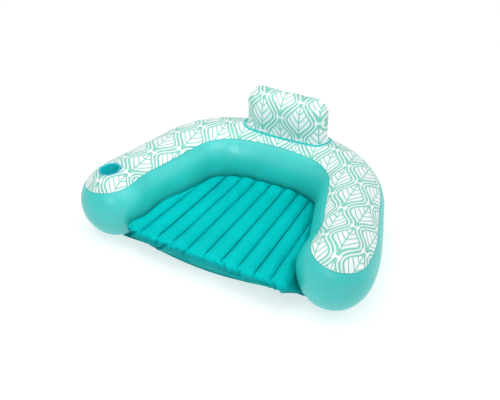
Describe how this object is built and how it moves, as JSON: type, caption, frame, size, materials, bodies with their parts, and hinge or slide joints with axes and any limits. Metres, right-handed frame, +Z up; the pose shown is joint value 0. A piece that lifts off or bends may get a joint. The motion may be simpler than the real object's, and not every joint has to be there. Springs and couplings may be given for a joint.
{
  "type": "inflatable pool float",
  "caption": "U-shaped inflatable pool lounge with printed top panels, a ribbed mat seat, an upright head pillow, a cup recess and recessed air valves.",
  "frame": {"origin": "on the resting plane, at the middle of the float's length and width", "axes": "+Z up, +Y towards the head pillow, +X towards the arm without the cup; the open front faces -Y"},
  "size_m": [1.4032, 1, 0.523],
  "materials": {
    "printed_vinyl": "satin printed vinyl",
    "wall_vinyl": "satin vinyl",
    "seat_vinyl": "satin vinyl",
    "inner_vinyl": "plain vinyl",
    "cup_vinyl": "moulded vinyl",
    "rim_vinyl": "moulded vinyl",
    "valve_vinyl": "soft moulded vinyl"
  },
  "bodies": {
    "float": {"ring_top_panel": "printed_vinyl", "ring_side_wall": "wall_vinyl", "ring_bottom_panel": "wall_vinyl", "seat_floor_sheet": "seat_vinyl", "seat_rib_sheet": "seat_vinyl", "seat_front_panel": "seat_vinyl", "seat_edge_band": "seat_vinyl", "seat_web_1": "inner_vinyl", "seat_web_2": "inner_vinyl", "seat_web_3": "inner_vinyl", "seat_web_4": "inner_vinyl", "seat_web_5": "inner_vinyl", "seat_web_6": "inner_vinyl", "seat_web_7": "inner_vinyl", "seat_web_8": "inner_vinyl", "seat_web_9": "inner_vinyl", "cup_liner": "cup_vinyl", "cup_rim": "rim_vinyl", "pillow_weld_flange": "seat_vinyl", "ring_valve_flange": "valve_vinyl", "seat_valve_flange": "valve_vinyl"},
    "pillow": {"pillow_front_panel": "printed_vinyl", "pillow_back_panel": "printed_vinyl", "pillow_base_panel": "inner_vinyl", "pillow_valve_flange": "valve_vinyl"},
    "ring_valve_stem": {"ring_valve_stem": "valve_vinyl", "ring_valve_tether": "valve_vinyl"},
    "ring_valve_plug": {"ring_valve_plug": "valve_vinyl"},
    "ring_valve_flap": {"ring_valve_flap": "valve_vinyl"},
    "pillow_valve_stem": {"pillow_valve_stem": "valve_vinyl", "pillow_valve_tether": "valve_vinyl"},
    "pillow_valve_plug": {"pillow_valve_plug": "valve_vinyl"},
    "pillow_valve_flap": {"pillow_valve_flap": "valve_vinyl"},
    "seat_valve_stem": {"seat_valve_stem": "valve_vinyl", "seat_valve_tether": "valve_vinyl"},
    "seat_valve_plug": {"seat_valve_plug": "valve_vinyl"},
    "seat_valve_flap": {"seat_valve_flap": "valve_vinyl"}
  },
  "joints": [
    {"name": "pillow_lean", "type": "hinge", "parent": "float", "child": "pillow", "pos_m": [0.01, 0.34398, 0.3135], "axis": [1, 0, 0], "range_deg": [-8, 8], "stiffness_Nm_per_rad": 5},
    {"name": "ring_stem_slide", "type": "slide", "parent": "float", "child": "ring_valve_stem", "axis": [-0.1392, 0.9903, 0], "range_m": [0, 0.012]},
    {"name": "ring_plug_pull", "type": "slide", "parent": "ring_valve_stem", "child": "ring_valve_plug", "axis": [-0.1392, 0.9903, 0], "range_m": [0, 0.012]},
    {"name": "ring_flap_swing", "type": "hinge", "parent": "ring_valve_stem", "child": "ring_valve_flap", "pos_m": [-0.14285, 0.4654, 0.1601], "axis": [-0.9903, -0.1392, 0], "range_deg": [0, 60]},
    {"name": "pillow_stem_slide", "type": "slide", "parent": "pillow", "child": "pillow_valve_stem", "axis": [0, 1, 0], "range_m": [0, 0.012]},
    {"name": "pillow_plug_pull", "type": "slide", "parent": "pillow_valve_stem", "child": "pillow_valve_plug", "axis": [0, 1, 0], "range_m": [0, 0.012]},
    {"name": "pillow_flap_swing", "type": "hinge", "parent": "pillow_valve_stem", "child": "pillow_valve_flap", "pos_m": [-0.11, 0.37689, 0.4056], "axis": [-1, 0, 0], "range_deg": [0, 60]},
    {"name": "seat_stem_slide", "type": "slide", "parent": "float", "child": "seat_valve_stem", "axis": [0, 0, -1], "range_m": [0, 0.012]},
    {"name": "seat_plug_pull", "type": "slide", "parent": "seat_valve_stem", "child": "seat_valve_plug", "axis": [0, 0, -1], "range_m": [0, 0.012]},
    {"name": "seat_flap_swing", "type": "hinge", "parent": "seat_valve_stem", "child": "seat_valve_flap", "pos_m": [0.2056, -0.12704, 0.0326], "axis": [0, 1, 0], "range_deg": [0, 60]}
  ]
}
